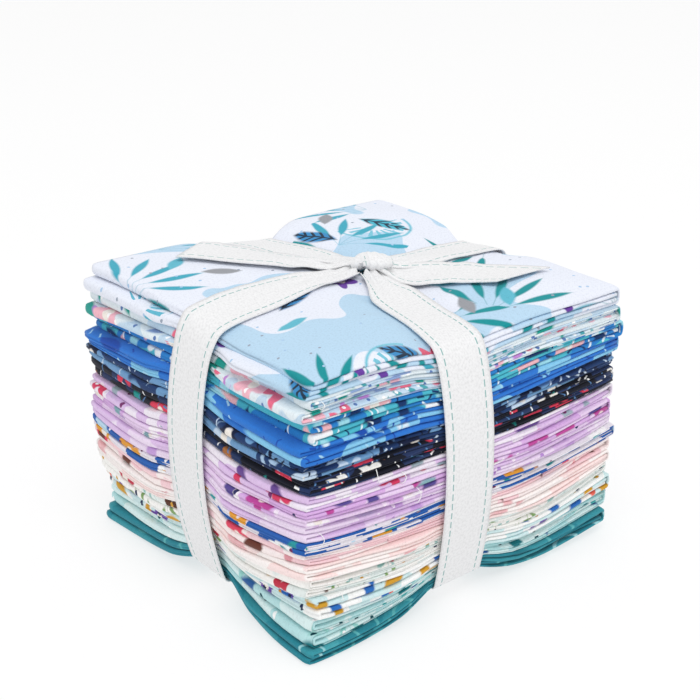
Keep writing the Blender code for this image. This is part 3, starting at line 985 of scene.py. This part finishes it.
def weathered(shader, colour, tone, roughness, height, strength):
    """Plug in a cloth's colour times its tone, its roughness and its bump."""
    tone = tone.clamped()
    shade = tone.node("ShaderNodeCombineColor", {}, {0: tone, 1: tone, 2: tone})
    settings = {"data_type": "RGBA", "blend_type": "MULTIPLY"}
    plug(colour.node("ShaderNodeMix", settings, {0: 1.0, 6: colour, 7: shade}, 2), shader, "Base Color")
    plug(roughness, shader, "Roughness")
    inputs = {"Strength": strength, "Distance": 1.0, "Height": height}
    plug(height.node("ShaderNodeBump", {}, inputs), shader, "Normal")


def cotton(name, design, seed):
    made, shader, cloth = cloth_material(name)
    colour = printed(cloth, design, seed)
    threads = weave(cloth)
    grain = noise(cloth, 0.0009, 3.0)
    tone = 0.80 + threads * 0.05 + grain * 0.38
    ripple = noise(cloth, 0.011, 1.0)
    height = threads * 0.00002 + ripple * 0.0005
    weathered(shader, colour, tone, 0.86 + grain * 0.12, height, 0.6)
    fill(shader, {"Sheen Weight": 0.12, "Sheen Roughness": 0.5, "Specular IOR Level": 0.12})
    return made


for number, (cut, design) in enumerate(zip(CUTS, PRINTS)):
    made = cotton(f"cotton_{number + 1:02d}", design, FIRST_SEED + number)
    cuts[cut.name].data.materials.append(made)
print("cotton on", len(cuts), "cuts")

# %% [markdown]
# ## The ribbon
#
# One length of ribbon goes round the stack both ways, crosses underneath, and is knotted on top.
# It lies in the hollow that it has drawn. Each of its four arms is a strip of rows that follow the
# stack's outline: over the top, round the edge, down the belly of the side and in again underneath,
# where it joins the arm on the other side. Near the knot it is gathered to a narrow pleated bunch.

# %% The ribbon's arms
RIBBON_THICK = 0.00045
AIR = 0.0004              # air between the ribbon and the cloth
UNDER = UNDER_LIFT - AIR
GATHER_HALF = 0.0046      # half width of the ribbon where it enters the knot
ARM_LIFT = 0.0024         # how far the knot lifts the arms
LIFT_REACH = 0.012
STEP = 0.0006             # spacing of an arm's rows
BEND = 1.5                # how softly they turn over the edges, in millimetres
BEND_ROWS = 10            # rows to each side that a bend takes in
ACROSS = 15               # columns across the ribbon
START = 0.004             # where the arms and tails leave the knot's inside
OPENS_FROM = 0.006        # reach at which an arm starts to open
LETS_GO = 0.014           # drop over which it leaves the form of the top
HALF_WAY = 0.05           # height that parts an arm's upper from its lower half
ARM_WANDER = (0.03, 0.0005)
STEADY_END = 0.02         # length before the joint underneath where the wander dies out
ARM_PLEAT, TAIL_PLEAT = 0.0009, 0.0010
ARM_CROWN, CROWN_REACH = 0.0011, 0.03
DISH = 0.0003             # how far the ribbon's edges turn up
DUCK = 1.3                # how far one round goes under the other where they cross, in thicknesses,
DUCK_FROM, DUCK_FADE = 0.03, 0.015     # and the reach and length of that slope

# opens is the reach at which an arm has its full width, and bow a sideways curve on its way
Arm = namedtuple("Arm", "along_x way opens bow")
ARMS = [
    Arm(True, -1, 0.046, 0.0022),
    Arm(True, 1, 0.028, 0.0),
    Arm(False, -1, 0.026, 0.0),
    Arm(False, 1, 0.030, 0.0),
]


def lengths(path):
    """How far along a path its points lie."""
    return running(np.linalg.norm(np.diff(path, axis=0), axis=1))


def soften(path):
    """Space a path's points evenly, and turn its corners into soft bends."""
    travelled = lengths(path[:, :2])
    even = np.arange(0.0, travelled[-1], STEP)
    offsets = np.arange(-BEND_ROWS, BEND_ROWS + 1)
    weights = np.exp(-0.5 * (offsets * STEP * 1000.0 / BEND) ** 2)
    columns = []
    for column in path.T:
        padded = np.pad(np.interp(even, travelled, column), BEND_ROWS, mode="edge")
        columns.append(np.convolve(padded, weights / weights.sum(), mode="valid"))
    return np.stack(columns, -1)


def on_arm(arm, reach, side):
    """The flat spot at a reach along an arm and a distance to its side."""
    out = arm.way * reach
    return (out + 0.0 * side, side + 0.0 * out) if arm.along_x else (side + 0.0 * out, out + 0.0 * side)


def arm_path(arm):
    """Rows of one arm from the knot outwards: reach, height, and 1 on top to 0 down the side."""
    half = HALF_X if arm.along_x else HALF_Y
    proud = (1.0 - HELD) * max(max(cut.upper, cut.lower, cut.large) for cut in CUTS)
    outside = half + proud + AIR
    edge = outside + standing_out(1.0, 0.0, 1.0)
    reach = np.arange(START, edge, STEP)
    top = topside(*on_arm(arm, reach, np.zeros(1))) + AIR
    height = np.arange(top[-1], UNDER, -STEP)
    side = outside + standing_out((height - UNDER) / (top[-1] - UNDER), 0.0, 1.0)
    back = np.arange(edge, 0.0, -STEP)
    fade = 1.0 - ease((top[-1] - height) / LETS_GO)
    rows = [np.stack([reach, top, np.ones_like(reach)], -1)]
    rows.append(np.stack([side, height, fade], -1))
    rows.append(np.stack([back, np.full_like(back, UNDER), np.zeros_like(back)], -1))
    return soften(np.concatenate(rows))


def arm_points(arm, seed):
    dice = random.Random(seed)
    path = arm_path(arm)
    reach, height, on_top = path[:, 0:1], path[:, 1:2], path[:, 2:3]
    over = height > HALF_WAY
    open_up = np.where(over, ease((reach - OPENS_FROM) / (arm.opens - OPENS_FROM)), 1.0)
    across = np.linspace(-1.0, 1.0, ACROSS)[None, :]
    side = across * (GATHER_HALF + (RIBBON_WIDTH / 2.0 - GATHER_HALF) * open_up)
    travelled = lengths(path[:, :2])
    steady = ease((travelled[-1] - travelled) / STEADY_END)
    wander = (lengthwise(dice, travelled, *ARM_WANDER) * steady)[:, None]
    bow = arm.bow * np.sin(math.pi * np.clip(reach / HALF_X, 0.0, 1.0)) * np.where(over, 1.0, 0.0)
    flat = on_arm(arm, reach, side + wander + bow)
    x, y = leaned(*flat)
    inside = on_arm(arm, np.minimum(reach, HALF_Y), side + wander + bow)
    centre = on_arm(arm, np.minimum(reach, HALF_Y), np.zeros((1, 1)))
    z = height + on_top * (topside(*inside) - topside(*centre))
    gathered = 1.0 - open_up
    pleats = ARM_PLEAT * gathered * np.cos(across * 9.0 + 3.0 * arm.way)
    crowned = ARM_CROWN * (1.0 - across ** 2) * np.exp(-reach / CROWN_REACH)
    dish = DISH * across ** 2 * open_up
    z = z + np.where(over, ARM_LIFT * np.exp(-reach / LIFT_REACH) + pleats + crowned + dish, 0.0)
    if not arm.along_x:
        ducked = RIBBON_THICK * DUCK * ease((DUCK_FROM - reach) / DUCK_FADE) * (1.0 - on_top)
        z = z - np.where(over, 0.0, ducked)
    return np.stack([x + 0.0 * z, y + 0.0 * z, z], -1)


print("rows of an arm:", len(arm_path(ARMS[0])))

# %% [markdown]
# ## Tails and knot
#
# The two ends leave the knot on opposite sides, open to their full width and lie on the
# quarters, cut off at a slant. To lie on the cloth, a tail asks the stack for its height under
# every point. The knot is drawn small and tight: a narrow wrap beside a puffed one, both pleated
# the way round that the ribbon goes. It isn't really tied: inside it, the wraps, arms and tails run
# through each other.

# %% The ribbon's tails
# stiff is how much of the way it bridges the dips across its width.
Tail = namedtuple("Tail", "heading bend length slant opens stiff")
TAILS = [
    Tail(134.0, -5.0, 0.0680, 0.0030, 0.034, 0.25),
    Tail(-42.0, -17.0, 0.0610, 0.0148, 0.024, 0.75),
]
KNOT_MIDDLE = np.array([KNOT_X, KNOT_Y, 0.1072])
TAIL_ROWS = 48
TAIL_AIR = 0.0009         # between a tail and the cloth
TAIL_RISE = 0.0003        # and how it wanders above that
TAIL_WANDER = (0.016, 0.0004)
SETTLES = 0.015           # length over which a tail comes down from the knot


def cloth_top(x, y):
    """Height of the stack's top surface over a plan position."""
    a, b = x - KNOT_X, y - KNOT_Y
    for _ in range(6):
        a = x - lean_x(b) * (1.0 - rim(a, HALF_X))
        b = y - lean_y(a) * (1.0 - rim(b, HALF_Y))
    return topside(a, b)


def tail_points(spec, seed):
    dice = random.Random(seed)
    share = np.linspace(0.0, 1.0, TAIL_ROWS)
    travelled = share * spec.length
    heading = np.radians(spec.heading + spec.bend * share)
    ahead = np.stack([np.cos(heading), np.sin(heading)], -1)
    middle = np.cumsum(ahead * travelled[1], axis=0) - ahead[0] * travelled[1]
    across = np.linspace(-1.0, 1.0, ACROSS)[None, :]
    open_up = ease((travelled - START) / (spec.opens - START))[:, None]
    half = GATHER_HALF + (RIBBON_WIDTH / 2.0 - GATHER_HALF) * open_up
    left = np.stack([-np.sin(heading), np.cos(heading)], -1)
    slant = spec.slant * across / 2.0 * share[:, None] ** 3
    x = KNOT_MIDDLE[0] + middle[:, 0:1] + left[:, 0:1] * half * across + ahead[:, 0:1] * slant
    y = KNOT_MIDDLE[1] + middle[:, 1:2] + left[:, 1:2] * half * across + ahead[:, 1:2] * slant
    lying = cloth_top(x, y) + TAIL_AIR
    bridging = spec.stiff * ease(travelled / spec.length)[:, None]
    lying = lying + bridging * (lying.max(axis=1, keepdims=True) - lying)
    settled = ease(travelled / SETTLES)[:, None]
    z = KNOT_MIDDLE[2] + (lying - KNOT_MIDDLE[2]) * settled
    z = z + (TAIL_RISE + lengthwise(dice, travelled, *TAIL_WANDER))[:, None] * settled
    pleats = TAIL_PLEAT * (1.0 - open_up) * np.cos(across * 8.0 + seed)
    return np.stack([x, y, z + pleats], -1)


# %% The knot's two wraps
# offset is along the knot from its middle, then half the length and the two radii, the turn of
# its pleats, how many it has and how deep they are
Wrap = namedtuple("Wrap", "offset half wide high tilt pleats depth")
WRAPS = [
    Wrap(-0.0002, 0.0025, 0.0048, 0.0028, 24.0, 3.0, 0.07),
    Wrap(0.0054, 0.0056, 0.0052, 0.0030, -14.0, 5.5, 0.09),
]
KNOT_HEADING = -42.0
WRAP_STEPS = (48, 30)     # steps round a wrap and points along it
WRAP_BLUNT = 0.50         # below 1 its ends are blunt
WRAP_TAPER = 0.26
WRAP_UNEVEN = 0.06


def wrap_points(wrap):
    """One turn of the ribbon round the knot, as a puffed ring that closes at both sides."""
    side = np.linspace(-math.pi / 2.0, math.pi / 2.0, WRAP_STEPS[1])[None, :]
    turn = np.linspace(0.0, math.tau, WRAP_STEPS[0] + 1)[:, None]
    creases = 1.0 - wrap.depth * np.abs(np.sin(side * wrap.pleats + 0.5 * np.sin(turn))) ** 4
    uneven = 1.0 + WRAP_UNEVEN * np.sin(turn * 3.0 + wrap.tilt)
    radius = np.cos(side) ** WRAP_BLUNT * creases * uneven
    radius = radius * (1.0 - WRAP_TAPER * np.sin(side))
    x = wrap.half * np.sin(side) + 0.0 * turn
    y = wrap.wide * radius * np.cos(turn)
    z = wrap.high * radius * np.sin(turn)
    x = x + math.tan(math.radians(wrap.tilt)) * y + wrap.offset
    heading = math.radians(KNOT_HEADING)
    cosine, sine = math.cos(heading), math.sin(heading)
    return np.stack([x * cosine - y * sine, x * sine + y * cosine, z], -1) + KNOT_MIDDLE


def strip_grid(points):
    """A strip with its lengths: u along its middle, v across the ribbon from its middle."""
    columns = points.shape[1]
    half = RIBBON_WIDTH / 2.0
    return points, lengths(points[:, columns // 2]), np.linspace(-half, half, columns)


arms = [arm_points(arm, 1 + number) for number, arm in enumerate(ARMS)]
strips = [np.concatenate([arms[n], arms[n + 1][::-1]]) for n in (0, 2)]
strips += [tail_points(spec, 5 + number) for number, spec in enumerate(TAILS)]
strips += [wrap_points(wrap) for wrap in WRAPS]
made = grid_mesh("ribbon", [strip_grid(points) for points in strips])
ribbon = add_piece("ribbon_tie_woven", made, "ribbon")
thicken(ribbon, RIBBON_THICK)
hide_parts("ribbon_tie")
print("ribbon faces:", len(ribbon.data.polygons))

# %% [markdown]
# ## Ribbon cloth
#
# The ribbon is a firm white twill with a line of printed stitches three millimetres inside each
# edge. The twill's fine diagonal shows as a bump, and the stitches are dashes in pale teal.

# %% The ribbon material
STITCH_INSET = 0.0031     # from the ribbon's edge
STITCH_HALF = 0.00030     # half a stitch's width
STITCH_PITCH = 0.0037     # from stitch to stitch, and the share of it that is thread
STITCH_SHARE = 0.68
TWILL = 0.0008            # distance between the twill's diagonals


def ribbon_cloth():
    made, shader, cloth = cloth_material("ribbon_twill")
    along, across = cloth.parts()
    edge = RIBBON_WIDTH / 2.0 - STITCH_INSET
    line = filled(STITCH_HALF - abs(abs(across) - edge), 9000.0)
    dashes = along.math("FRACT", along / STITCH_PITCH) < STITCH_SHARE
    colour = mixed(linear("F1F1F2"), linear("74B0AC"), line * dashes * 0.9)
    twill = along.math("SINE", (along + across) * (math.tau / TWILL))
    grain = noise(cloth, 0.0010)
    tone = 0.78 + twill * 0.045 + grain * 0.36
    height = twill * 0.000025 + grain * 0.00006
    weathered(shader, colour, tone, 0.55 + grain * 0.15, height, 0.7)
    fill(shader, {"Sheen Weight": 0.1})
    return made


ribbon.data.materials.append(ribbon_cloth())

# %% [markdown]
# ## Loose threads
#
# Raw edges fray. A few white threads have worked out of the folds in front, and each hangs a
# few millimetres down before it turns in again. A thread is a thin tube along its own path.

# %% Threads
THREAD_RADIUS = 0.00014

# which cut it comes from, where along the front it starts, how far it hangs, and how it sways
Thread = namedtuple("Thread", "cut along height drop sway")
THREADS = [
    Thread("fat_quarter_02", -0.0665, 0.0962, 0.0030, 0.0004),
    Thread("fat_quarter_07", -0.0430, 0.0680, 0.0056, -0.0005),
    Thread("fat_quarter_08", -0.0315, 0.0640, 0.0046, 0.0006),
    Thread("fat_quarter_10", -0.0250, 0.0565, 0.0064, 0.0005),
    Thread("fat_quarter_12", -0.0690, 0.0500, 0.0052, 0.0007),
    Thread("fat_quarter_15", -0.0590, 0.0250, 0.0030, -0.0005),
]


def thread_path(thread):
    share = np.linspace(0.0, 1.0, 14)
    height = thread.height - thread.drop * share
    along = thread.along + thread.sway * np.sin(share * 5.0) + thread.sway * share
    x, y = plan(along, np.full_like(along, -HALF_Y), height / CLOTH_HEIGHT)
    out = -0.0006 + 0.0026 * np.sin(math.pi * share) ** 0.5
    return np.stack([x, y - out, height], -1)


def tube(path, radius, sides=6):
    """A grid of points round a path."""
    ahead = np.gradient(path, axis=0)
    ahead /= np.linalg.norm(ahead, axis=1, keepdims=True)
    beside_it = np.cross(ahead, (0.0, 1.0, 0.3))
    beside_it /= np.linalg.norm(beside_it, axis=1, keepdims=True)
    above_it = np.cross(beside_it, ahead)
    turn = np.linspace(0.0, math.tau, sides + 1)[None, :, None]
    ring_ = beside_it[:, None] * np.cos(turn) + above_it[:, None] * np.sin(turn)
    return path[:, None] + radius * ring_


white_thread, shader = new_material("white_thread")
fill(shader, {"Base Color": linear("FAFAFA"), "Roughness": 0.8})
for thread in THREADS:
    made = cloth_mesh(thread.cut + "_thread", tube(thread_path(thread), THREAD_RADIUS))
    add_piece(thread.cut + "_thread", made)
    made.materials.append(white_thread)

# %% [markdown]
# ## The order of the cuts
#
# The cuts are listed from the top down, and each one looks up the cloth of the cut below it.

# %% The cuts in order
names = [cut.name for cut in CUTS]
for number, name in enumerate(names):
    below = [cuts[names[number + 1]].name] if number + 1 < len(names) else []
